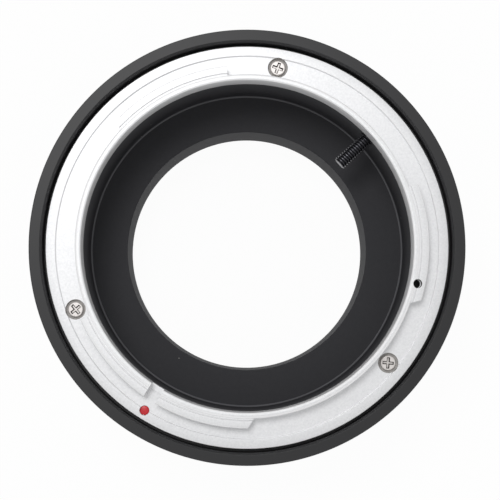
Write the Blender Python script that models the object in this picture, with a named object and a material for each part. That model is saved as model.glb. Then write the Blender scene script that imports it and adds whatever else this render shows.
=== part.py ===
# Microscope adapter with a breech-lock lens mount.
# A turned black body carries a chromed bayonet ring, held down by three small screws.
# The optical path is open right through, and a threaded stop pin reaches into it.
# Lengths are in metres. Z runs up the optical axis, and the rear end face lies at z = 0.

import math

import bmesh
import bpy
from mathutils import Matrix, Vector

# Optical path
throat_radius = 0.0240          # inside the bayonet barrel
chamber_relief = 0.0002         # the chamber's wall stands back this far under the ring
bore_radius = 0.01854           # the long bore at the rear
bore_mouth_chamfer = 0.0001
bore_exit_chamfer = 0.0004
chamber_corner = 0.00022        # corner between the chamber's wall and its floor

# Rear end of the body
spigot_wall = 0.00246           # bore to the crest of the rear thread, 42 mm across
spigot_length = 0.0042
spigot_lead_chamfer = 0.0005
relief_depth = 0.0007           # run-out groove where the thread meets the shoulder
relief_width = 0.0009
relief_undercut = 0.00015       # the groove also clears the shoulder's inner corner
relief_crest_gap = 0.0001       # crest of the thread to the start of the shoulder's face
shoulder_width = 0.0060
floor_thickness = 0.0055        # shoulder up to the chamber's floor

# Outside of the body
tail_height = 0.0023
cone_height = 0.0091
collar_height = 0.0075
collar_step = 0.0010
collar_wall = 0.00185
edge_break = 0.0001

# Counterbore that takes the bayonet ring
ring_seat_depth = 0.00235
collar_inner_chamfer = 0.0003

# Bayonet ring
barrel_wall = 0.00082
barrel_height = 0.00365
barrel_outer_chamfer = 0.00028
barrel_inner_chamfer = 0.00015
flange_thickness = 0.00105
track_width = 0.00284           # recessed floor between the barrel and the foot of the rim
rim_slope_width = 0.0003        # the rim rises on a slope
rim_top_width = 0.00135
rim_rise = 0.0003
ring_edge_break = 0.00006

# Bayonet lugs
lug_reach = 0.00143
lug_drop = 0.00038              # top of the lugs below the top of the barrel
lug_thickness = 0.0011
lug_edge_break = 0.00012

# Slot and pin hole for the lens's levers
slot_width = 0.0020
slot_depth = 0.0022
lever_hole_radius = 0.00066
lever_hole_offset = 0.00028     # outside the barrel's wall

# Mounting screws
screw_offset = 0.00175          # from the barrel's wall to the screw's axis
counterbore_radius = 0.00147
counterbore_depth = 0.00055
screw_head_radius = 0.00108
screw_head_height = 0.0004
screw_head_edge = 0.0001
screw_shank_radius = 0.0008
screw_shank_length = 0.0040
recess_half_length = 0.00075
recess_half_width = 0.0002
recess_depth = 0.00045
recess_taper_share = 0.5

# Stop pin, a headless screw with a hexagon socket
pin_radius = 0.0010
pin_drop = 0.00245              # axis below the ring's seat
pin_reach = 0.0054              # tip inwards from the throat
pin_sink = 0.0006               # outer end below the collar's surface
pin_edge = 0.0002
pin_socket_radius = 0.00052
pin_socket_depth = 0.0011

# Index dot
dot_offset = 0.0004             # outwards from the foot of the rim
dimple_radius = 0.00072
dimple_depth = 0.00045          # below the recessed floor
dot_crown = 0.00012
dot_crown_share = 0.7           # where the crown's slope breaks, of its radius and its rise
dot_edge_height = 0.0002

# Clearances
seat_gap = 0.0003               # ring to the face that it sits on
ring_clearance = 0.00052        # ring to the counterbore's wall, all round
screw_clearance = 0.00015
head_gap = 0.0001
pin_clearance = 0.00015
dot_clearance = 0.00005
drill_overrun = 0.0005          # blind holes past the end of their screw
overrun = 0.0010                # cutters past the faces that they leave

# Angles in degrees, counter-clockwise seen from the lens side
first_screw_angle = 80.3
pin_angle = 42.3
slot_angle = 237.65
lever_hole_angle = 347.3
dot_angle = 238.0
recess_angles = (70.0, 40.0, 85.0)
# Each lug has its start and end at the barrel and at its outer edge
lug_angles = {
    "upper_left_lug": {"barrel": (96.6, 139.0), "edge": (96.6, 135.3)},
    "right_lug": {"barrel": (339.8, 380.5), "edge": (342.5, 379.6)},
    "lower_left_lug": {"barrel": (204.0, 272.9), "edge": (204.0, 270.0)},
}

# Counts
turn_steps = 96
screw_count = 3
screw_steps = 24
pin_steps = 24
dot_steps = 32
socket_sides = 6
full_turn = 2 * math.pi
smooth_angle = math.radians(32)
merge_share = 0.01              # merge distance as a share of a profile's shortest edge

# Radii that follow
barrel_radius = throat_radius + barrel_wall
lug_radius = barrel_radius + lug_reach
chamber_radius = throat_radius + chamber_relief
rim_foot_radius = barrel_radius + track_width
rim_inner_radius = rim_foot_radius + rim_slope_width
ring_radius = rim_inner_radius + rim_top_width
counterbore_wall_radius = ring_radius + ring_clearance
collar_radius = counterbore_wall_radius + collar_wall
spigot_radius = bore_radius + spigot_wall
tail_radius = spigot_radius + shoulder_width
screw_circle_radius = barrel_radius + screw_offset

# Heights that follow
shoulder_z = spigot_length
floor_z = shoulder_z + floor_thickness
tail_top_z = shoulder_z + tail_height
collar_bottom_z = tail_top_z + cone_height
collar_top_z = collar_bottom_z + collar_height
seat_z = collar_top_z - ring_seat_depth
ring_bottom_z = seat_z + seat_gap
track_z = ring_bottom_z + flange_thickness
rim_z = track_z + rim_rise
barrel_top_z = ring_bottom_z + barrel_height
lug_top_z = barrel_top_z - lug_drop
pin_z = seat_z - pin_drop


def clear_scene():
    for item in list(bpy.data.objects):
        bpy.data.objects.remove(item, do_unlink=True)


def finish_material(name, colour, roughness, metallic):
    material = bpy.data.materials.new(name)
    material.use_nodes = True
    shader = material.node_tree.nodes["Principled BSDF"]
    shader.inputs["Base Color"].default_value = (*colour, 1.0)
    shader.inputs["Roughness"].default_value = roughness
    shader.inputs["Metallic"].default_value = metallic
    return material


def place(bm, name, material=None):
    """Turn a bmesh into a smooth-shaded object."""
    bmesh.ops.recalc_face_normals(bm, faces=bm.faces)
    mesh = bpy.data.meshes.new(name)
    bm.to_mesh(mesh)
    bm.free()
    mesh.shade_smooth()
    mesh.set_sharp_from_angle(angle=smooth_angle)
    return place_mesh(mesh, name, material)


def place_mesh(mesh, name, material=None):
    item = bpy.data.objects.new(name, mesh)
    bpy.context.collection.objects.link(item)
    if material is not None and not mesh.materials:
        mesh.materials.append(material)
    return item


def turned(outline, steps, closed):
    """Spin an outline of (radius, height) points round Z.

    A closed outline gives a ring; an open one runs from axis to axis and gives a solid."""
    bm = bmesh.new()
    points = [bm.verts.new((radius, 0, height)) for radius, height in outline]
    edges = [bm.edges.new(pair) for pair in zip(points, points[1:])]
    if closed:
        edges.append(bm.edges.new((points[-1], points[0])))
    bmesh.ops.spin(bm, geom=points + edges, cent=(0, 0, 0), axis=(0, 0, 1),
                   angle=full_turn, steps=steps, use_merge=True)
    shortest = min(edge.calc_length() for edge in bm.edges if edge.calc_length() > 0)
    bmesh.ops.remove_doubles(bm, verts=bm.verts, dist=shortest * merge_share)
    return bm


def extruded(corners, bottom, top):
    """A prism over (x, y) corners between two heights."""
    bm = bmesh.new()
    face = bm.faces.new([bm.verts.new((x, y, bottom)) for x, y in corners])
    raised = bmesh.ops.extrude_face_region(bm, geom=[face])["geom"]
    moved = [part for part in raised if isinstance(part, bmesh.types.BMVert)]
    bmesh.ops.translate(bm, verts=moved, vec=(0, 0, top - bottom))
    return bm


def polar(radius, degrees):
    angle = math.radians(degrees)
    return radius * math.cos(angle), radius * math.sin(angle)


def combine(target, tool, operation):
    """Cut a tool from the target, or join it on."""
    tool.hide_render = True
    tool.display_type = "WIRE"
    modifier = target.modifiers.new(tool.name, "BOOLEAN")
    modifier.operation = operation
    modifier.solver = "EXACT"
    modifier.object = tool


def drill(target, name, outline, steps, location, rotation=(0, 0, 0)):
    """Cut a turned tool, which may be stepped, at a place and a direction."""
    tool = place(turned(outline, steps, closed=False), name)
    tool.location = location
    tool.rotation_euler = rotation
    combine(target, tool, "DIFFERENCE")


def rod_outline(radius, bottom, top):
    return [(0, bottom), (radius, bottom), (radius, top), (0, top)]


def screw_angle(index):
    return first_screw_angle + index * 360 / screw_count


def build_body(material):
    """The black body, turned in one piece from the rear spigot to the collar."""
    cone_radius = collar_radius - collar_step
    relief_radius = spigot_radius - relief_depth
    outline = [
        (bore_radius + bore_exit_chamfer, 0),
        (spigot_radius - spigot_lead_chamfer, 0),
        (spigot_radius, spigot_lead_chamfer),
        (spigot_radius, shoulder_z - relief_width - relief_depth),
        (relief_radius, shoulder_z - relief_width),
        (relief_radius, shoulder_z + relief_undercut),
        (spigot_radius + relief_crest_gap, shoulder_z + relief_undercut),
        (spigot_radius + relief_crest_gap, shoulder_z),
        (tail_radius - edge_break, shoulder_z),
        (tail_radius, shoulder_z + edge_break),
        (tail_radius, tail_top_z),
        (cone_radius, collar_bottom_z),
        (collar_radius - edge_break, collar_bottom_z),
        (collar_radius, collar_bottom_z + edge_break),
        (collar_radius, collar_top_z - edge_break),
        (collar_radius - edge_break, collar_top_z),
        (counterbore_wall_radius + collar_inner_chamfer, collar_top_z),
        (counterbore_wall_radius, collar_top_z - collar_inner_chamfer),
        (counterbore_wall_radius, seat_z),
        (chamber_radius, seat_z),
        (chamber_radius, floor_z + chamber_corner),
        (chamber_radius - chamber_corner, floor_z),
        (bore_radius + bore_mouth_chamfer, floor_z),
        (bore_radius, floor_z - bore_mouth_chamfer),
        (bore_radius, bore_exit_chamfer),
    ]
    body = place(turned(outline, turn_steps, closed=True), "adapter_body", material)

    hole_radius = screw_shank_radius + screw_clearance
    hole_bottom = screw_head_underside() - screw_shank_length - drill_overrun
    for index in range(screw_count):
        x, y = polar(screw_circle_radius, screw_angle(index))
        drill(body, f"screw_hole_{index + 1}_tool", rod_outline(hole_radius, hole_bottom, seat_z + overrun),
              screw_steps, (x, y, 0))

    pin_hole = rod_outline(pin_radius + pin_clearance, throat_radius - overrun, collar_radius + overrun)
    drill(body, "pin_hole_tool", pin_hole, pin_steps, (0, 0, pin_z), pin_direction())
    return body


def build_lug(name, angles):
    """One bayonet lug, whose ends slant between the barrel and its outer edge."""
    root_radius = barrel_radius - barrel_wall / 2
    count = max(2, round(turn_steps * (angles["edge"][1] - angles["edge"][0]) / 360))
    corners = []
    for step in range(count + 1):
        share = step / count
        corners.append(polar(lug_radius, angles["edge"][0] * (1 - share) + angles["edge"][1] * share))
    for step in range(count, -1, -1):
        share = step / count
        corners.append(polar(root_radius, angles["barrel"][0] * (1 - share) + angles["barrel"][1] * share))
    bm = extruded(corners, lug_top_z - lug_thickness, lug_top_z)
    rims = []
    for edge in bm.edges:
        level = abs(edge.verts[0].co.z - edge.verts[1].co.z) < lug_thickness / 2
        outer = all(vert.co.xy.length > barrel_radius for vert in edge.verts)
        if level and outer:
            rims.append(edge)
    bmesh.ops.bevel(bm, geom=rims, offset=lug_edge_break, segments=1, affect="EDGES")
    return place(bm, name)


def build_bayonet_ring(material):
    """The chromed ring: turned flange, rim and barrel, with lugs, slot and holes."""
    outline = [
        (throat_radius, ring_bottom_z),
        (ring_radius - ring_edge_break, ring_bottom_z),
        (ring_radius, ring_bottom_z + ring_edge_break),
        (ring_radius, rim_z - ring_edge_break),
        (ring_radius - ring_edge_break, rim_z),
        (rim_inner_radius, rim_z),
        (rim_foot_radius, track_z),
        (barrel_radius, track_z),
        (barrel_radius, barrel_top_z - barrel_outer_chamfer),
        (barrel_radius - barrel_outer_chamfer, barrel_top_z),
        (throat_radius + barrel_inner_chamfer, barrel_top_z),
        (throat_radius, barrel_top_z - barrel_inner_chamfer),
    ]
    ring = place(turned(outline, turn_steps, closed=True), "bayonet_ring", material)
    for name, angles in lug_angles.items():
        combine(ring, build_lug(name, angles), "UNION")

    slot = [
        (throat_radius - overrun, -slot_width / 2),
        (lug_radius + overrun, -slot_width / 2),
        (lug_radius + overrun, slot_width / 2),
        (throat_radius - overrun, slot_width / 2),
    ]
    slot_tool = place(extruded(slot, barrel_top_z - slot_depth, barrel_top_z + overrun), "slot_tool")
    slot_tool.rotation_euler = (0, 0, math.radians(slot_angle))
    combine(ring, slot_tool, "DIFFERENCE")

    x, y = polar(barrel_radius + lever_hole_offset, lever_hole_angle)
    lever_hole = rod_outline(lever_hole_radius, ring_bottom_z - overrun, barrel_top_z + overrun)
    drill(ring, "lever_hole_tool", lever_hole, screw_steps, (x, y, 0))

    hole_radius = screw_shank_radius + screw_clearance
    stepped = [
        (0, ring_bottom_z - overrun),
        (hole_radius, ring_bottom_z - overrun),
        (hole_radius, track_z - counterbore_depth),
        (counterbore_radius, track_z - counterbore_depth),
        (counterbore_radius, rim_z + overrun),
        (0, rim_z + overrun),
    ]
    for index in range(screw_count):
        x, y = polar(screw_circle_radius, screw_angle(index))
        drill(ring, f"counterbore_{index + 1}_tool", stepped, screw_steps, (x, y, 0))

    x, y = polar(rim_foot_radius + dot_offset, dot_angle)
    drill(ring, "dimple_tool", rod_outline(dimple_radius, track_z - dimple_depth, rim_z + overrun),
          dot_steps, (x, y, 0))
    return ring


def screw_head_underside():
    return track_z - counterbore_depth + head_gap


def cross_recess():
    """A tapered plus-shaped tool, its mouth at z = 0."""
    wide, narrow = recess_half_length, recess_half_width
    corners = []
    for quarter in range(4):
        turn = Matrix.Rotation(quarter * full_turn / 4, 2)
        for corner in ((narrow, narrow), (wide, narrow), (wide, -narrow)):
            corners.append(turn @ Vector(corner))
    ordered = sorted(corners, key=lambda corner: math.atan2(corner.y, corner.x))
    bm = extruded(ordered, -recess_depth, recess_depth)
    flare_share = 2 - recess_taper_share
    for vert in bm.verts:
        vert.co.xy *= recess_taper_share if vert.co.z < 0 else flare_share
    return bm


def build_screws(material):
    """Three small cross-recess screws in the ring's counterbores."""
    head = screw_head_height
    outline = [
        (0, -screw_shank_length),
        (screw_shank_radius - screw_head_edge, -screw_shank_length),
        (screw_shank_radius, screw_head_edge - screw_shank_length),
        (screw_shank_radius, 0),
        (screw_head_radius, 0),
        (screw_head_radius, head - screw_head_edge),
        (screw_head_radius - screw_head_edge, head),
        (0, head),
    ]
    first = place(turned(outline, screw_steps, closed=False), "mount_screw_1", material)
    tool = place(cross_recess(), "cross_recess_tool_1")
    for index in range(screw_count):
        name = f"mount_screw_{index + 1}"
        screw = first if index == 0 else place_mesh(first.data, name)
        recess = tool if index == 0 else place_mesh(tool.data, f"cross_recess_tool_{index + 1}")
        x, y = polar(screw_circle_radius, screw_angle(index))
        screw.location = (x, y, screw_head_underside())
        recess.parent = screw
        recess.location = (0, 0, head)
        recess.rotation_euler = (0, 0, math.radians(recess_angles[index % len(recess_angles)]))
        combine(screw, recess, "DIFFERENCE")


def pin_direction():
    """Rotation that lays a rod's Z axis outwards along the stop pin's radius."""
    return (0, math.pi / 2, math.radians(pin_angle))


def build_stop_pin(material):
    """The headless screw that stops the lens's lever, driven from outside the collar."""
    tip = throat_radius - pin_reach
    end = collar_radius - pin_sink
    outline = [
        (0, tip),
        (pin_radius - pin_edge, tip),
        (pin_radius, tip + pin_edge),
        (pin_radius, end - pin_edge),
        (pin_radius - pin_edge, end),
        (0, end),
    ]
    pin = place(turned(outline, pin_steps, closed=False), "stop_pin", material)
    pin.location = (0, 0, pin_z)
    pin.rotation_euler = pin_direction()
    corners = [polar(pin_socket_radius, side * 360 / socket_sides) for side in range(socket_sides)]
    socket = place(extruded(corners, end - pin_socket_depth, end + overrun), "pin_socket_tool")
    socket.parent = pin
    combine(pin, socket, "DIFFERENCE")


def build_index_dot(material):
    """The red enamel that fills the dimple in the rim."""
    radius = dimple_radius - dot_clearance
    bottom = track_z - dimple_depth + dot_clearance
    edge = bottom + dot_edge_height
    outline = [
        (0, bottom),
        (radius, bottom),
        (radius, edge),
        (radius * dot_crown_share, edge + dot_crown * dot_crown_share),
        (0, edge + dot_crown),
    ]
    dot = place(turned(outline, dot_steps, closed=False), "index_dot", material)
    x, y = polar(rim_foot_radius + dot_offset, dot_angle)
    dot.location = (x, y, 0)


def main():
    clear_scene()
    anodised = finish_material("black_anodised_aluminium", (0.030, 0.031, 0.033), 0.45, 0.0)
    chrome = finish_material("satin_chromed_brass", (0.72, 0.72, 0.73), 0.35, 1.0)
    plated = finish_material("nickel_plated_steel", (0.70, 0.68, 0.66), 0.30, 1.0)
    oxide = finish_material("black_oxide_steel", (0.020, 0.020, 0.022), 0.40, 0.0)
    enamel = finish_material("red_enamel", (0.55, 0.02, 0.03), 0.35, 0.0)
    build_body(anodised)
    build_bayonet_ring(chrome)
    build_screws(plated)
    build_stop_pin(oxide)
    build_index_dot(enamel)


main()
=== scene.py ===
# Looks of the microscope adapter: black anodised body, satin-chromed bayonet ring,
# three small screws, a threaded stop pin and a red index dot.
import math

import bpy
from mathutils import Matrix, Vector


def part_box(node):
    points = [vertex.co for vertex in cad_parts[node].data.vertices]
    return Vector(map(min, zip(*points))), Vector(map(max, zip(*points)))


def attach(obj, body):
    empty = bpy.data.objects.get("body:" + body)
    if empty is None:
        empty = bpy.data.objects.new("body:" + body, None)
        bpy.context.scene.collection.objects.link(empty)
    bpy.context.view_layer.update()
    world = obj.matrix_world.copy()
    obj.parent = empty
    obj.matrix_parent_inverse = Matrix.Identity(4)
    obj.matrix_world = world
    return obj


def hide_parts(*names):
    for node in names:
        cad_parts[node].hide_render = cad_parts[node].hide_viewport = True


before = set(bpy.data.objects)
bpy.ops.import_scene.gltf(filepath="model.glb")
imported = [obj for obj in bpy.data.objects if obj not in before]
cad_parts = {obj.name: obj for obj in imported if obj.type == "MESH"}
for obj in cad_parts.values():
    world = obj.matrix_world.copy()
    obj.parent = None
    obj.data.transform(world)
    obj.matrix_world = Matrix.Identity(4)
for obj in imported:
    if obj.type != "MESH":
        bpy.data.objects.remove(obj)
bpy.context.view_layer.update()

mm = 0.001
fullTurn = 2 * math.pi
overrun = 1.0 * mm             # how far a cutter reaches past what it cuts
weldDistance = 0.001 * mm      # points closer than this are one
flatShare = 0.95               # a face is a flat where this share of its normal, or more, lies along the axis
screwNodes = [f"mount_screw_{index + 1}" for index in range(3)]


# Small helpers

def deselect():
    if bpy.context.mode != "OBJECT":
        bpy.ops.object.mode_set(mode="OBJECT")
    bpy.ops.object.select_all(action="DESELECT")


def pick(obj):
    deselect()
    bpy.context.view_layer.objects.active = obj
    obj.select_set(True)


def editAll(obj):
    pick(obj)
    bpy.ops.object.mode_set(mode="EDIT")
    bpy.ops.mesh.select_all(action="SELECT")


def leaveEdit():
    bpy.ops.object.mode_set(mode="OBJECT")


def applyPlace(obj):
    pick(obj)
    bpy.ops.object.transform_apply(location=True, rotation=True, scale=True)


def applyModifier(obj, kind, **settings):
    pick(obj)
    modifier = obj.modifiers.new(kind.lower(), kind)
    for name, value in settings.items():
        setattr(modifier, name, value)
    bpy.ops.object.modifier_apply(modifier=modifier.name)


def softenEdges(obj, width, segments=2, angle=25):
    applyModifier(obj, "BEVEL", width=width, segments=segments, limit_method="ANGLE",
                  angle_limit=math.radians(angle), use_clamp_overlap=True)


def shade(obj, angle=12):
    # round walls are smooth, and every flat stays flat up to its softened edges
    pick(obj)
    bpy.ops.object.shade_smooth_by_angle(angle=math.radians(angle))


def join(target, others):
    deselect()
    for obj in others:
        obj.select_set(True)
    target.select_set(True)
    bpy.context.view_layer.objects.active = target
    bpy.ops.object.join()


def boolean(target, tool, operation):
    applyModifier(target, "BOOLEAN", operation=operation, solver="EXACT", object=tool)
    bpy.data.objects.remove(tool, do_unlink=True)


def polar(radius, degrees, height=0.0):
    angle = math.radians(degrees)
    return Vector((radius * math.cos(angle), radius * math.sin(angle), height))


def centreOf(node):
    low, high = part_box(node)
    return (low + high) / 2


def wire(name, outline):
    # one vertex is extruded along the outline; the new object stays in edit mode
    deselect()
    bpy.ops.mesh.primitive_plane_add(size=mm, location=(0, 0, 0))
    obj = bpy.context.object
    obj.name = name
    bpy.ops.object.mode_set(mode="EDIT")
    bpy.ops.mesh.select_all(action="SELECT")
    bpy.ops.mesh.merge(type="CENTER")
    here = Vector((outline[0][0], 0, outline[0][1]))
    bpy.ops.transform.translate(value=here)
    for radius, height in outline[1:]:
        there = Vector((radius, 0, height))
        bpy.ops.mesh.extrude_vertices_move(TRANSFORM_OT_translate={"value": there - here})
        here = there
    bpy.ops.mesh.select_all(action="SELECT")
    return obj


def lathe(name, outline, steps, closed=True, angle=fullTurn):
    # an outline is spun round Z
    obj = wire(name, outline + (outline[:1] if closed else []))
    bpy.ops.mesh.remove_doubles(threshold=weldDistance)
    bpy.ops.mesh.spin(steps=steps, angle=angle, center=(0, 0, 0), axis=(0, 0, 1))
    bpy.ops.mesh.select_all(action="SELECT")
    bpy.ops.mesh.remove_doubles(threshold=weldDistance)
    bpy.ops.mesh.normals_make_consistent(inside=False)
    leaveEdit()
    return obj


def rod(radius, bottom, top, place, steps):
    deselect()
    bpy.ops.mesh.primitive_cylinder_add(vertices=steps, radius=radius, depth=top - bottom,
                                        location=(place.x, place.y, (top + bottom) / 2))
    obj = bpy.context.object
    applyPlace(obj)
    return obj


def turnedAway(obj, degrees):
    # lays a part that stands on Z outwards along a radius
    obj.rotation_euler = (0, math.pi / 2, math.radians(degrees))
    applyPlace(obj)


# Materials

def linear(hexColour):
    channels = [int(hexColour[i:i + 2], 16) / 255 for i in (1, 3, 5)]
    return [c / 12.92 if c <= 0.04045 else ((c + 0.055) / 1.055) ** 2.4 for c in channels] + [1.0]


def newMaterial(name):
    material = bpy.data.materials.new(name)
    material.use_nodes = True
    material.node_tree.nodes.clear()
    return material


def addNode(tree, kind, settings=None, links=None):
    node = tree.nodes.new(kind)
    for name, value in (settings or {}).items():
        if name in node.inputs.keys():
            node.inputs[name].default_value = value
        else:
            setattr(node, name, value)
    for name, source in (links or {}).items():
        tree.links.new(source, node.inputs[name])
    return node


def giveMaterial(obj, material):
    obj.data.materials.clear()
    obj.data.materials.append(material)


def alsoGive(obj, material, belongs):
    # a further finish on the faces whose centre and normal belong to it
    obj.data.materials.append(material)
    for face in obj.data.polygons:
        if belongs(face.center, face.normal):
            face.material_index = len(obj.data.materials) - 1


grainNoise = {"Detail": 3.0, "Roughness": 0.65}
evenGrain = (1, 1, 1)
# the grain is drawn out across the axis: on walls and slopes it makes the fine lines of a lathe,
# and on flats a slow drift of tone
turningMarks = (0.06, 0.06, 1)

finishes = {
    # Satin black anodising over fine-turned aluminium: an even black with a soft grey sheen
    "satinBlackAnodisedAluminium": {
        "dark": "#1a1a1c", "light": "#1e1e20", "roughness": 0.45, "metallic": 0.0, "ior": 1.5,
        "grain": 0.35 * mm, "stretch": turningMarks, "bump": 0.12, "depth": 0.01 * mm, "dusty": True,
    },
    # Matte black inside the light path, which sends back little light at any angle
    "matteBlackChamberCoat": {
        "dark": "#37373a", "light": "#3d3d40", "roughness": 0.7, "metallic": 0.0, "ior": 1.3,
        "grain": 0.5 * mm, "stretch": evenGrain, "bump": 0.15, "depth": 0.01 * mm, "dusty": True,
    },
    # Black anodising at the foot of the chamber's wall, painted paler as a highlight on the corner: it shows
    # as a thin grey line
    "blackAnodisingPaintedHighlight": {
        "dark": "#525255", "light": "#66666a", "roughness": 0.5, "metallic": 0.0, "ior": 1.5,
        "grain": 0.35 * mm, "stretch": turningMarks, "bump": 0.12, "depth": 0.01 * mm, "dusty": False,
    },
    # Pearl chrome plate over blasted brass: pale and soft, with a fine mottle, drawn coarse enough to show
    "pearlChromePlate": {
        "dark": "#dadbdd", "light": "#fafafb", "roughness": 0.45, "metallic": 0.4, "ior": 1.5,
        "grain": 0.3 * mm, "stretch": evenGrain, "bump": 0.5, "depth": 0.02 * mm, "dusty": False,
    },
    # Chrome plate on turned walls and slopes: glossier than the pearl, with fine lines round the axis, and
    # paler than the pearl as a painted highlight on chamfers and slopes
    "turnedChromeWithPaintedHighlight": {
        "dark": "#f0f0f2", "light": "#fefefe", "roughness": 0.2, "metallic": 0.2, "ior": 1.5,
        "grain": 0.5 * mm, "stretch": turningMarks, "bump": 0.1, "depth": 0.005 * mm, "dusty": False,
    },
    # Nickel plate on small steel screws: warm, pale and satin
    "nickelPlatedSteel": {
        "dark": "#dcd7d4", "light": "#eae5e2", "roughness": 0.38, "metallic": 0.4, "ior": 1.5,
        "grain": 0.2 * mm, "stretch": evenGrain, "bump": 0.2, "depth": 0.01 * mm, "dusty": False,
    },
    # Painted shade in the screws' recesses and on the lever hole's wall: dark, dull and warm
    "paintedRecessShade": {
        "dark": "#3c3936", "light": "#5a5652", "roughness": 0.8, "metallic": 0.0, "ior": 1.5,
        "grain": 0.3 * mm, "stretch": evenGrain, "bump": 0.3, "depth": 0.01 * mm, "dusty": False,
    },
    # Chrome plate in the gap round each screw's head, painted a mottled grey as shade in the gap
    "chromeWithPaintedGapShade": {
        "dark": "#9a9794", "light": "#cac7c4", "roughness": 0.6, "metallic": 0.0, "ior": 1.5,
        "grain": 0.5 * mm, "stretch": evenGrain, "bump": 0.3, "depth": 0.01 * mm, "dusty": False,
    },
    # Black oxide on a threaded steel pin: a dark metal that gleams along the thread's upper side
    "blackOxideSteel": {
        "dark": "#55555a", "light": "#6a6a6e", "roughness": 0.36, "metallic": 1.0, "ior": 1.5,
        "grain": 0.2 * mm, "stretch": evenGrain, "bump": 0.2, "depth": 0.01 * mm, "dusty": False,
    },
    # Red enamel, thick and slightly uneven in its dimple
    "redEnamel": {
        "dark": "#b81c28", "light": "#dc3038", "roughness": 0.35, "metallic": 0.0, "ior": 1.5,
        "grain": 0.5 * mm, "stretch": evenGrain, "bump": 0.3, "depth": 0.02 * mm, "dusty": False,
    },
}

dust = {
    "cell": 4.0 * mm,          # one speck lies somewhere in each cube of this size
    "radius": 0.11 * mm,       # so about one in eighteen of them touches a surface and shows
    "colour": "#a4a4a1",
}


def dusted(tree, place, tone):
    # pale specks of dust, a few on each face
    cells = addNode(tree, "ShaderNodeTexVoronoi", {"Scale": 1 / dust["cell"]},
                    {"Vector": place.outputs["Object"]})
    speck = addNode(tree, "ShaderNodeMath", {"operation": "LESS_THAN"}, {0: cells.outputs["Distance"]})
    speck.inputs[1].default_value = dust["radius"] / dust["cell"]
    mix = addNode(tree, "ShaderNodeMix", {"data_type": "RGBA"}, {"Factor": speck.outputs[0], 6: tone})
    mix.inputs[7].default_value = linear(dust["colour"])
    return mix.outputs[2]


def finish(name):
    # two close tones and a slight unevenness, both from the same fine grain
    look = finishes[name]
    material = newMaterial(name)
    tree = material.node_tree
    place = addNode(tree, "ShaderNodeTexCoord")
    drawn = addNode(tree, "ShaderNodeMapping", {"Scale": look["stretch"]},
                    {"Vector": place.outputs["Object"]})
    grain = addNode(tree, "ShaderNodeTexNoise", {"Scale": 1 / look["grain"], **grainNoise},
                    {"Vector": drawn.outputs["Vector"]})
    colour = addNode(tree, "ShaderNodeMix", {"data_type": "RGBA"}, {"Factor": grain.outputs["Fac"]})
    colour.inputs[6].default_value = linear(look["dark"])
    colour.inputs[7].default_value = linear(look["light"])
    tone = dusted(tree, place, colour.outputs[2]) if look["dusty"] else colour.outputs[2]
    bump = addNode(tree, "ShaderNodeBump", {"Strength": look["bump"], "Distance": look["depth"]},
                   {"Height": grain.outputs["Fac"]})
    shader = addNode(tree, "ShaderNodeBsdfPrincipled",
                     {"Roughness": look["roughness"], "Metallic": look["metallic"], "IOR": look["ior"]},
                     {"Base Color": tone, "Normal": bump.outputs["Normal"]})
    addNode(tree, "ShaderNodeOutputMaterial", links={"Surface": shader.outputs["BSDF"]})
    return material


# Threads, which the body and the pin share

thread = {
    "crestStartShare": 0.43,   # the crest's two edges, as shares of the pitch
    "crestEndShare": 0.57,
    "spareTurns": 2,           # wound past each end of the limits, and cut off again
}


def wound(name, minor, major, pitch, limit, steps, closed=True):
    # one pitch of thread, root to root, is wound up into a single surface past its limits,
    # closed there, and then cut to the turned shape that the limits' outline gives
    bottom, top = min(point[1] for point in limit), max(point[1] for point in limit)
    start = bottom - thread["spareTurns"] * pitch
    obj = wire(name, [(minor, start), (major, start + thread["crestStartShare"] * pitch),
                      (major, start + thread["crestEndShare"] * pitch), (minor, start + pitch)])
    leaveEdit()
    turns = math.ceil((top - bottom) / pitch) + 2 * thread["spareTurns"]
    applyModifier(obj, "SCREW", axis="Z", screw_offset=pitch, iterations=turns, steps=steps,
                  render_steps=steps, use_merge_vertices=False)
    editAll(obj)
    bpy.ops.mesh.remove_doubles(threshold=weldDistance)
    bpy.ops.mesh.fill_holes(sides=0)
    bpy.ops.mesh.select_all(action="SELECT")
    bpy.ops.mesh.normals_make_consistent(inside=False)
    leaveEdit()
    boolean(obj, lathe("threadLimits", limit, steps, closed=closed), "INTERSECT")
    return obj


# The black body

body = {
    "chamberRadius": 24.2 * mm,
    "boreRadius": 18.54 * mm,
    "boreMouthChamfer": 0.1 * mm,
    "boreExitChamfer": 0.4 * mm,
    "chamberCorner": 0.22 * mm,
    "floorHeight": 9.7 * mm,
    "spigotRadius": 21.0 * mm,
    "spigotHeight": 4.2 * mm,
    "spigotLead": 0.5 * mm,
    "threadPitch": 0.75 * mm,
    "threadDepth": 0.42 * mm,
    "threadSink": 0.04 * mm,   # the thread's ring starts this far inside the core
    "reliefDepth": 0.7 * mm,
    "reliefWidth": 0.9 * mm,
    "reliefUndercut": 0.15 * mm,
    "reliefCrestGap": 0.1 * mm,
    "tailRadius": 27.0 * mm,
    "tailTop": 6.5 * mm,
    "collarBottom": 15.6 * mm,
    "collarStep": 1.0 * mm,
    "collarGap": 0.52 * mm,
    "innerChamfer": 0.3 * mm,
    "edgeBreak": 0.1 * mm,
    "seatGap": 0.3 * mm,       # between the bayonet ring's underside and the body's face below it
    "pinHoleRadius": 1.15 * mm,
    "screwHoleRadius": 0.95 * mm,
    "screwHoleDepth": 3.6 * mm,
    "softEdge": 0.03 * mm,
    "steps": 240,
    "holeSteps": 32,
}


def spigotCore():
    return body["spigotRadius"] - body["threadDepth"] - body["threadSink"]


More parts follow.
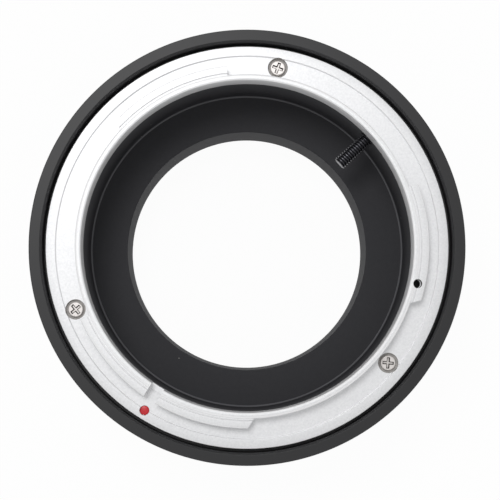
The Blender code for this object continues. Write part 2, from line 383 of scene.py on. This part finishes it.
def bodyOutline(seat):
    # up the spigot, the tail, the cone and the collar, then down the ring's well, the chamber and the bore
    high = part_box("adapter_body")[1]
    outer, top = high.x, high.z
    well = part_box("bayonet_ring")[1].x + body["collarGap"]
    relief, crest = body["spigotRadius"] - body["reliefDepth"], body["spigotRadius"] + body["reliefCrestGap"]
    reliefBottom = body["spigotHeight"] - body["reliefWidth"]
    reliefTop = body["spigotHeight"] + body["reliefUndercut"]
    breakEdge = body["edgeBreak"]
    return [
        (body["boreRadius"] + body["boreExitChamfer"], 0),
        (spigotCore(), 0),
        (spigotCore(), reliefBottom),
        (relief, reliefBottom),
        (relief, reliefTop),
        (crest, reliefTop),
        (crest, body["spigotHeight"]),
        (body["tailRadius"] - breakEdge, body["spigotHeight"]),
        (body["tailRadius"], body["spigotHeight"] + breakEdge),
        (body["tailRadius"], body["tailTop"]),
        (outer - body["collarStep"], body["collarBottom"]),
        (outer - breakEdge, body["collarBottom"]),
        (outer, body["collarBottom"] + breakEdge),
        (outer, top - breakEdge),
        (outer - breakEdge, top),
        (well + body["innerChamfer"], top),
        (well, top - body["innerChamfer"]),
        (well, seat),
        (body["chamberRadius"], seat),
        (body["chamberRadius"], body["floorHeight"] + body["chamberCorner"]),
        (body["chamberRadius"] - body["chamberCorner"], body["floorHeight"]),
        (body["boreRadius"] + body["boreMouthChamfer"], body["floorHeight"]),
        (body["boreRadius"], body["floorHeight"] - body["boreMouthChamfer"]),
        (body["boreRadius"], body["boreExitChamfer"]),
    ]


def drillBody(obj, seat):
    tools = [rod(body["screwHoleRadius"], seat - body["screwHoleDepth"], seat + overrun, centreOf(node),
                 body["holeSteps"]) for node in screwNodes]
    low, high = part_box("stop_pin")
    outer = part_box("adapter_body")[1].x
    pinHole = rod(body["pinHoleRadius"], body["chamberRadius"] - overrun, outer + overrun,
                  Vector((0, 0, 0)), body["holeSteps"])
    turnedAway(pinHole, pin["angle"])
    pinHole.location.z = (low.z + high.z) / 2
    applyPlace(pinHole)
    join(pinHole, tools)
    boolean(obj, pinHole, "DIFFERENCE")


def threadBody(obj):
    # the thread is a ring of its own on the core, and joined to it
    sink = body["threadSink"]
    minor = body["spigotRadius"] - body["threadDepth"]
    inner, outer = spigotCore() - sink, body["spigotRadius"] + sink
    end = body["spigotHeight"] - body["reliefWidth"] - sink
    limit = [
        (inner, 0.5 * sink),
        (body["spigotRadius"] - body["spigotLead"], 0.5 * sink),
        (outer, body["spigotLead"] + 1.5 * sink),
        (outer, end),
        (inner, end),
    ]
    ridge = wound("rearThread", minor, body["spigotRadius"], body["threadPitch"], limit, body["steps"])
    boolean(obj, ridge, "UNION")


def dressBody(obj, seat):
    def inLightPath(place, normal):
        radius = place.xy.length
        if place.z < body["floorHeight"] - body["boreMouthChamfer"]:
            return radius < body["boreRadius"] + body["boreExitChamfer"]
        return radius < body["chamberRadius"] + body["edgeBreak"] and place.z < seat - body["softEdge"]

    def atChamberFoot(place, normal):
        inner = body["chamberRadius"] - body["chamberCorner"]
        isLow = body["floorHeight"] < place.z < body["floorHeight"] + body["chamberCorner"]
        return isLow and inner < place.xy.length < body["chamberRadius"]

    giveMaterial(obj, finish("satinBlackAnodisedAluminium"))
    alsoGive(obj, finish("matteBlackChamberCoat"), inLightPath)
    # the corner at the chamber's foot takes a painted highlight
    alsoGive(obj, finish("blackAnodisingPaintedHighlight"), atChamberFoot)


def makeBody():
    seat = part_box("bayonet_ring")[0].z - body["seatGap"]
    obj = lathe("adapterBody", bodyOutline(seat), body["steps"])
    softenEdges(obj, body["softEdge"])
    drillBody(obj, seat)
    threadBody(obj)
    shade(obj)
    dressBody(obj, seat)
    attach(obj, "root")
    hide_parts("adapter_body")


# The bayonet ring

ring = {
    "throatRadius": 24.0 * mm,
    "barrelRadius": 24.82 * mm,
    "barrelOuterChamfer": 0.28 * mm,
    "barrelInnerChamfer": 0.15 * mm,
    "flangeThickness": 1.05 * mm,
    "rimFoot": 27.84 * mm,
    "rimSlope": 0.12 * mm,
    "rimRise": 0.3 * mm,
    "edgeBreak": 0.06 * mm,
    "softEdge": 0.02 * mm,
    "softSteps": 3,            # with two, a ragged white line shows at the lower right
    "lugRadius": 26.25 * mm,
    "lugDrop": 0.38 * mm,
    "lugThickness": 1.1 * mm,
    "lugRoot": 0.4 * mm,       # how far each lug reaches into the barrel
    "lugRound": 0.22 * mm,     # radius of a lug's outer top edge
    "lugRoundSteps": 4,
    "lugEdge": 0.05 * mm,
    "lugEdgeAngle": 60,        # only corners sharper than this are softened on a lug
    "lugGroovePlace": 25.05 * mm,
    "lugGrooveWidth": 0.14 * mm,
    "lugGrooveDepth": 0.22 * mm,
    "slotWidth": 2.0 * mm,
    "slotDepth": 2.2 * mm,
    "slotAngle": 237.65,
    "leverHoleRadius": 0.66 * mm,
    "leverHolePlace": 25.1 * mm,
    "leverHoleAngle": 347.3,
    "counterboreRadius": 1.47 * mm,
    "counterboreDepth": 0.55 * mm,
    "screwHoleRadius": 0.95 * mm,
    "dimpleRadius": 0.72 * mm,
    "dimpleDepth": 0.45 * mm,
    "steps": 240,
    "holeSteps": 64,
    # start and end of each lug, at the barrel and at its outer edge
    "lugs": [
        {"barrel": (96.6, 139.0), "edge": (96.6, 135.3)},
        {"barrel": (339.8, 380.5), "edge": (342.5, 379.6)},
        {"barrel": (204.0, 272.9), "edge": (204.0, 270.0)},
    ],
}


def lugOutline(inner, top):
    # a short length of flange with its outer top edge rounded and a fine groove beside the barrel
    outer, rounding, bottom = ring["lugRadius"], ring["lugRound"], top - ring["lugThickness"]
    grooveStart, grooveFloor = ring["lugGroovePlace"], top - ring["lugGrooveDepth"]
    grooveEnd = grooveStart + ring["lugGrooveWidth"]
    outline = [(inner, bottom), (outer, bottom)]
    for step in range(ring["lugRoundSteps"] + 1):
        angle = step / ring["lugRoundSteps"] * math.pi / 2
        outline.append((outer - rounding * (1 - math.cos(angle)), top - rounding * (1 - math.sin(angle))))
    return outline + [(grooveEnd, top), (grooveEnd, grooveFloor), (grooveStart, grooveFloor),
                      (grooveStart, top), (inner, top)]


def makeLug(angles, top):
    # the outline is spun over the lug's angle, and its two ends are slanted
    inner = ring["barrelRadius"] - ring["lugRoot"]
    start, end = angles["edge"]
    steps = round(ring["steps"] * (end - start) / 360)
    obj = lathe("lug", lugOutline(inner, top), steps, angle=math.radians(end - start))
    for vert in obj.data.vertices:
        radius = vert.co.xy.length
        share = abs(math.degrees(math.atan2(vert.co.y, vert.co.x))) / (end - start)
        outward = (radius - inner) / (ring["lugRadius"] - inner)
        first = angles["barrel"][0] * (1 - outward) + start * outward
        last = angles["barrel"][1] * (1 - outward) + end * outward
        vert.co = polar(radius, first + (last - first) * share, vert.co.z)
    editAll(obj)
    bpy.ops.mesh.select_all(action="DESELECT")
    bpy.ops.mesh.select_non_manifold()
    bpy.ops.mesh.edge_face_add()
    bpy.ops.mesh.select_all(action="SELECT")
    bpy.ops.mesh.normals_make_consistent(inside=False)
    leaveEdit()
    softenEdges(obj, ring["lugEdge"], angle=ring["lugEdgeAngle"])
    return obj


def ringOutline(bottom, top, outer, track, rim):
    # out under the flange, up and over the rim, down its slope to the track, and over the barrel
    breakEdge = ring["edgeBreak"]
    return [
        (ring["throatRadius"], bottom),
        (outer - breakEdge, bottom),
        (outer, bottom + breakEdge),
        (outer, rim - breakEdge),
        (outer - breakEdge, rim),
        (ring["rimFoot"] + ring["rimSlope"], rim),
        (ring["rimFoot"], track),
        (ring["barrelRadius"], track),
        (ring["barrelRadius"], top - ring["barrelOuterChamfer"]),
        (ring["barrelRadius"] - ring["barrelOuterChamfer"], top),
        (ring["throatRadius"] + ring["barrelInnerChamfer"], top),
        (ring["throatRadius"], top - ring["barrelInnerChamfer"]),
    ]


def counterbore(centre, bottom, track, rim):
    stepped = [(0, bottom - overrun), (ring["screwHoleRadius"], bottom - overrun),
               (ring["screwHoleRadius"], track - ring["counterboreDepth"]),
               (ring["counterboreRadius"], track - ring["counterboreDepth"]),
               (ring["counterboreRadius"], rim + overrun), (0, rim + overrun)]
    tool = lathe("counterbore", stepped, ring["holeSteps"], closed=False)
    tool.location = (centre.x, centre.y, 0)
    applyPlace(tool)
    return tool


def cutRing(obj, bottom, top, track, rim, leverHole):
    # the slot through the barrel, the lever hole, three counterbores and the dot's dimple
    deselect()
    bpy.ops.mesh.primitive_cube_add(size=1, location=(0, 0, 0))
    slot = bpy.context.object
    slot.scale = (ring["lugRadius"] - ring["throatRadius"] + 2 * overrun, ring["slotWidth"],
                  ring["slotDepth"] + overrun)
    slot.rotation_euler.z = math.radians(ring["slotAngle"])
    slot.location = polar((ring["lugRadius"] + ring["throatRadius"]) / 2, ring["slotAngle"],
                          top - (ring["slotDepth"] - overrun) / 2)
    applyPlace(slot)
    tools = [rod(ring["leverHoleRadius"], bottom - overrun, top + overrun, leverHole, ring["holeSteps"])]
    tools += [counterbore(centreOf(node), bottom, track, rim) for node in screwNodes]
    tools.append(rod(ring["dimpleRadius"], track - ring["dimpleDepth"], rim + overrun,
                     centreOf("index_dot"), dot["steps"]))
    join(slot, tools)
    boolean(obj, slot, "DIFFERENCE")


def dressRing(obj, track, leverHole, recessShade):
    centres = [centreOf(node).xy for node in screwNodes]

    def isTurned(place, normal):
        return abs(normal.z) < flatShare

    def besideScrew(place, normal):
        reach = min((place.xy - centre).length for centre in centres)
        return reach < ring["counterboreRadius"] + ring["softEdge"] and place.z < track - ring["softEdge"]

    def inLeverHole(place, normal):
        reach = (place.xy - leverHole.xy).length
        return reach < ring["leverHoleRadius"] + ring["softEdge"] and abs(normal.z) < flatShare

    giveMaterial(obj, finish("pearlChromePlate"))
    # walls and slopes take the turned finish, whose paler colour is partly a painted highlight
    alsoGive(obj, finish("turnedChromeWithPaintedHighlight"), isTurned)
    # the gap round each screw's head is painted grey as shade
    alsoGive(obj, finish("chromeWithPaintedGapShade"), besideScrew)
    # the lever hole's wall takes the painted shade
    alsoGive(obj, recessShade, inLeverHole)


def makeRing(recessShade):
    low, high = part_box("bayonet_ring")
    bottom, top, outer = low.z, high.z, high.x
    track = bottom + ring["flangeThickness"]
    rim = track + ring["rimRise"]
    leverHole = polar(ring["leverHolePlace"], ring["leverHoleAngle"])
    obj = lathe("bayonetRing", ringOutline(bottom, top, outer, track, rim), ring["steps"])
    softenEdges(obj, ring["softEdge"], segments=ring["softSteps"])
    lugs = [makeLug(angles, top - ring["lugDrop"]) for angles in ring["lugs"]]
    join(lugs[0], lugs[1:])
    boolean(obj, lugs[0], "UNION")
    cutRing(obj, bottom, top, track, rim, leverHole)
    shade(obj)
    dressRing(obj, track, leverHole, recessShade)
    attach(obj, "root")
    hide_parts("bayonet_ring")


# The three screws

screw = {
    "headRadius": 1.08 * mm,
    "headHeight": 0.4 * mm,
    "headEdge": 0.1 * mm,
    "shankRadius": 0.8 * mm,
    "recessHalfLength": 0.82 * mm,
    "recessHalfWidth": 0.23 * mm,
    "recessDepth": 0.34 * mm,
    "recessSlope": 0.13 * mm,  # how much smaller the recess is at its foot, on each side
    "recessReach": 1.1,        # the painted shade reaches down to this share of the recess's depth
    "softEdge": 0.03 * mm,
    "recessAngles": [70.0, 40.0, 85.0],
    "steps": 64,
}


def cutRecess(obj, top, degrees):
    # the cross recess: two wings, narrower at their feet
    deselect()
    bpy.ops.mesh.primitive_cube_add(size=2, location=(0, 0, 0))  # its scale is then half its size
    tool = bpy.context.object
    tool.scale = (screw["recessHalfLength"], screw["recessHalfWidth"], screw["recessDepth"])
    applyPlace(tool)
    for vert in tool.data.vertices:
        vert.co.x += math.copysign(screw["recessSlope"], vert.co.x * vert.co.z)
        vert.co.y += math.copysign(screw["recessSlope"], vert.co.y * vert.co.z)
    for turn in (0, 90):
        wing = tool.copy()
        wing.data = tool.data.copy()
        bpy.context.collection.objects.link(wing)
        wing.rotation_euler.z = math.radians(degrees + turn)
        wing.location.z = top
        applyPlace(wing)
        boolean(obj, wing, "DIFFERENCE")
    bpy.data.objects.remove(tool, do_unlink=True)


def makeScrew(index, material, recessShade):
    name = f"mount_screw_{index + 1}"
    low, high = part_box(name)
    headTop, headBottom, end = high.z, high.z - screw["headHeight"], low.z
    edge = screw["headEdge"]
    outline = [(0, end), (screw["shankRadius"] - edge, end), (screw["shankRadius"], end + edge),
               (screw["shankRadius"], headBottom), (screw["headRadius"], headBottom),
               (screw["headRadius"], headTop - edge), (screw["headRadius"] - edge, headTop), (0, headTop)]
    obj = lathe(f"mountScrew{index + 1}", outline, screw["steps"], closed=False)
    softenEdges(obj, screw["softEdge"])
    cutRecess(obj, headTop, screw["recessAngles"][index])

    def inRecess(place, normal):
        foot = headTop - screw["recessReach"] * screw["recessDepth"]
        isDeep = foot < place.z < headTop - screw["softEdge"]
        return isDeep and normal.z < flatShare and place.xy.length < screw["recessHalfLength"]

    shade(obj)
    giveMaterial(obj, material)
    # the recess's walls take the painted shade
    alsoGive(obj, recessShade, inRecess)
    centre = centreOf(name)
    obj.location = (centre.x, centre.y, 0)
    applyPlace(obj)
    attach(obj, "root")
    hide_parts(name)


# The stop pin

pin = {
    "radius": 1.0 * mm,
    "pitch": 0.4 * mm,
    "threadDepth": 0.22 * mm,
    "angle": 42.3,
    "tipRadius": 18.6 * mm,
    "sink": 0.6 * mm,          # its outer end below the collar's surface
    "edge": 0.12 * mm,
    "socketRadius": 0.52 * mm,
    "socketDepth": 1.1 * mm,
    "socketSides": 6,
    "steps": 44,
}


def makePin(material):
    # the pin is wound and cut standing on Z, and laid along its radius at the end
    low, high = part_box("stop_pin")
    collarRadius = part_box("adapter_body")[1].x
    tip, end, edge = pin["tipRadius"], collarRadius - pin["sink"], pin["edge"]
    inner, outer = pin["radius"] - edge, pin["radius"] + edge
    limit = [(0, tip), (inner, tip), (outer, tip + 2 * edge), (outer, end - 2 * edge), (inner, end), (0, end)]
    obj = wound("stopPin", pin["radius"] - pin["threadDepth"], pin["radius"], pin["pitch"], limit,
                pin["steps"], closed=False)
    deselect()
    bpy.ops.mesh.primitive_cylinder_add(vertices=pin["socketSides"], radius=pin["socketRadius"],
                                        depth=2 * pin["socketDepth"], location=(0, 0, end))
    socket = bpy.context.object
    applyPlace(socket)
    boolean(obj, socket, "DIFFERENCE")
    turnedAway(obj, pin["angle"])
    obj.location.z = (low.z + high.z) / 2
    applyPlace(obj)
    shade(obj)
    giveMaterial(obj, material)
    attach(obj, "root")
    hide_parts("stop_pin")


# The red dot

dot = {
    "crown": 0.12 * mm,
    "crownSteps": 6,
    "edgeHeight": 0.2 * mm,
    "shadeAngle": 30,
    "steps": 48,
}


def makeDot(material):
    low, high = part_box("index_dot")
    centre = centreOf("index_dot")
    radius = (high.x - low.x) / 2
    bottom, edge = low.z, low.z + dot["edgeHeight"]
    outline = [(0, bottom), (radius, bottom), (radius, edge)]
    for step in range(1, dot["crownSteps"]):
        angle = step / dot["crownSteps"] * math.pi / 2
        outline.append((radius * math.cos(angle), edge + dot["crown"] * math.sin(angle)))
    outline.append((0, edge + dot["crown"]))
    obj = lathe("indexDot", outline, dot["steps"], closed=False)
    obj.location = (centre.x, centre.y, 0)
    applyPlace(obj)
    shade(obj, angle=dot["shadeAngle"])
    giveMaterial(obj, material)
    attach(obj, "root")
    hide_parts("index_dot")


# Stage, lights and camera

stageFloor = {
    "size": 1.2,
    "drop": 0.02 * mm,         # below the part's foot, so that the two faces don't share a plane
    "paper": "#f4f4f4",
    "whiteShare": 0.96,        # of what is seen of the floor; the rest takes the shadow
}


def makeStage():
    deselect()
    bpy.ops.mesh.primitive_plane_add(size=stageFloor["size"], location=(0, 0, -stageFloor["drop"]))
    obj = bpy.context.object
    obj.name = "whiteFloor"
    material = newMaterial("whitePaperFloor")
    tree = material.node_tree
    paper = addNode(tree, "ShaderNodeBsdfDiffuse", {"Color": linear(stageFloor["paper"])})
    glow = addNode(tree, "ShaderNodeEmission", {"Color": (1, 1, 1, 1), "Strength": 1.0})
    seen = addNode(tree, "ShaderNodeLightPath")
    rays = addNode(tree, "ShaderNodeMath", {"operation": "ADD", "use_clamp": True},
                   {0: seen.outputs["Is Camera Ray"], 1: seen.outputs["Is Glossy Ray"]})
    share = addNode(tree, "ShaderNodeMath", {"operation": "MULTIPLY"}, {0: rays.outputs[0]})
    share.inputs[1].default_value = stageFloor["whiteShare"]
    mix = addNode(tree, "ShaderNodeMixShader",
                  links={0: share.outputs[0], 1: paper.outputs[0], 2: glow.outputs[0]})
    addNode(tree, "ShaderNodeOutputMaterial", links={"Surface": mix.outputs[0]})
    giveMaterial(obj, material)


lights = {
    "horizon": 1.0,            # the room's brightness low down
    "zenith": 0.6,             # and overhead
    "horizonTop": 0.15,        # heights on the unit sphere: the first holds up to here
    "zenithBottom": 0.35,      # and the second from here on
    "keyPlace": (-0.10, 0.16, 0.515),
    "keySize": 0.20,
    "keyPower": 0.85,
}


def makeKey():
    data = bpy.data.lights.new("keyBox", "AREA")
    data.shape = "DISK"
    data.size = lights["keySize"]
    data.energy = lights["keyPower"]
    obj = bpy.data.objects.new("keyBox", data)
    bpy.context.collection.objects.link(obj)
    obj.location = lights["keyPlace"]
    obj.rotation_euler = (-Vector(lights["keyPlace"])).to_track_quat("-Z", "Y").to_euler()
    obj.visible_camera = False


def makeLights():
    world = bpy.data.worlds.new("softStudio")
    bpy.context.scene.world = world
    world.use_nodes = True
    tree = world.node_tree
    tree.nodes.clear()
    # pale walls all round, a little darker overhead
    direction = addNode(tree, "ShaderNodeTexCoord")
    height = addNode(tree, "ShaderNodeSeparateXYZ", links={0: direction.outputs["Generated"]})
    level = addNode(tree, "ShaderNodeMapRange",
                    {"From Min": lights["horizonTop"], "From Max": lights["zenithBottom"],
                     "To Min": lights["horizon"], "To Max": lights["zenith"]}, {"Value": height.outputs["Z"]})
    room = addNode(tree, "ShaderNodeBackground", {"Color": (1, 1, 1, 1)},
                   {"Strength": level.outputs["Result"]})
    addNode(tree, "ShaderNodeOutputWorld", links={"Surface": room.outputs[0]})
    makeKey()


camera = {
    "aside": -1.0 * mm,        # from the ring's axis
    "below": -10.2 * mm,
    "above": 178.0 * mm,       # from the barrel's top
    "tiltUp": 3.052,           # degrees from straight down
    "tiltAside": -0.443,
    "lens": 89.4,
    "sensor": 36.0,
    "nearest": 10.0 * mm,
}


def makeCamera():
    data = bpy.data.cameras.new("viewCamera")
    data.sensor_width = camera["sensor"]
    data.lens = camera["lens"]
    data.clip_start = camera["nearest"]
    obj = bpy.data.objects.new("viewCamera", data)
    bpy.context.collection.objects.link(obj)
    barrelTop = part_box("bayonet_ring")[1].z
    obj.location = (camera["aside"], camera["below"], barrelTop + camera["above"])
    obj.rotation_euler = (math.radians(camera["tiltUp"]), math.radians(camera["tiltAside"]), 0)
    bpy.context.scene.camera = obj


# The whole

bpy.context.scene.view_settings.view_transform = "Standard"
makeCamera()
makeLights()
makeStage()
print("stage, lights and camera stand")
makeBody()
print("body turned")
screwFinish, recessShade = finish("nickelPlatedSteel"), finish("paintedRecessShade")
makeRing(recessShade)
print("bayonet ring turned and milled")
for index in range(len(screwNodes)):
    makeScrew(index, screwFinish, recessShade)
makePin(finish("blackOxideSteel"))
makeDot(finish("redEnamel"))
print("screws, pin and dot in place")
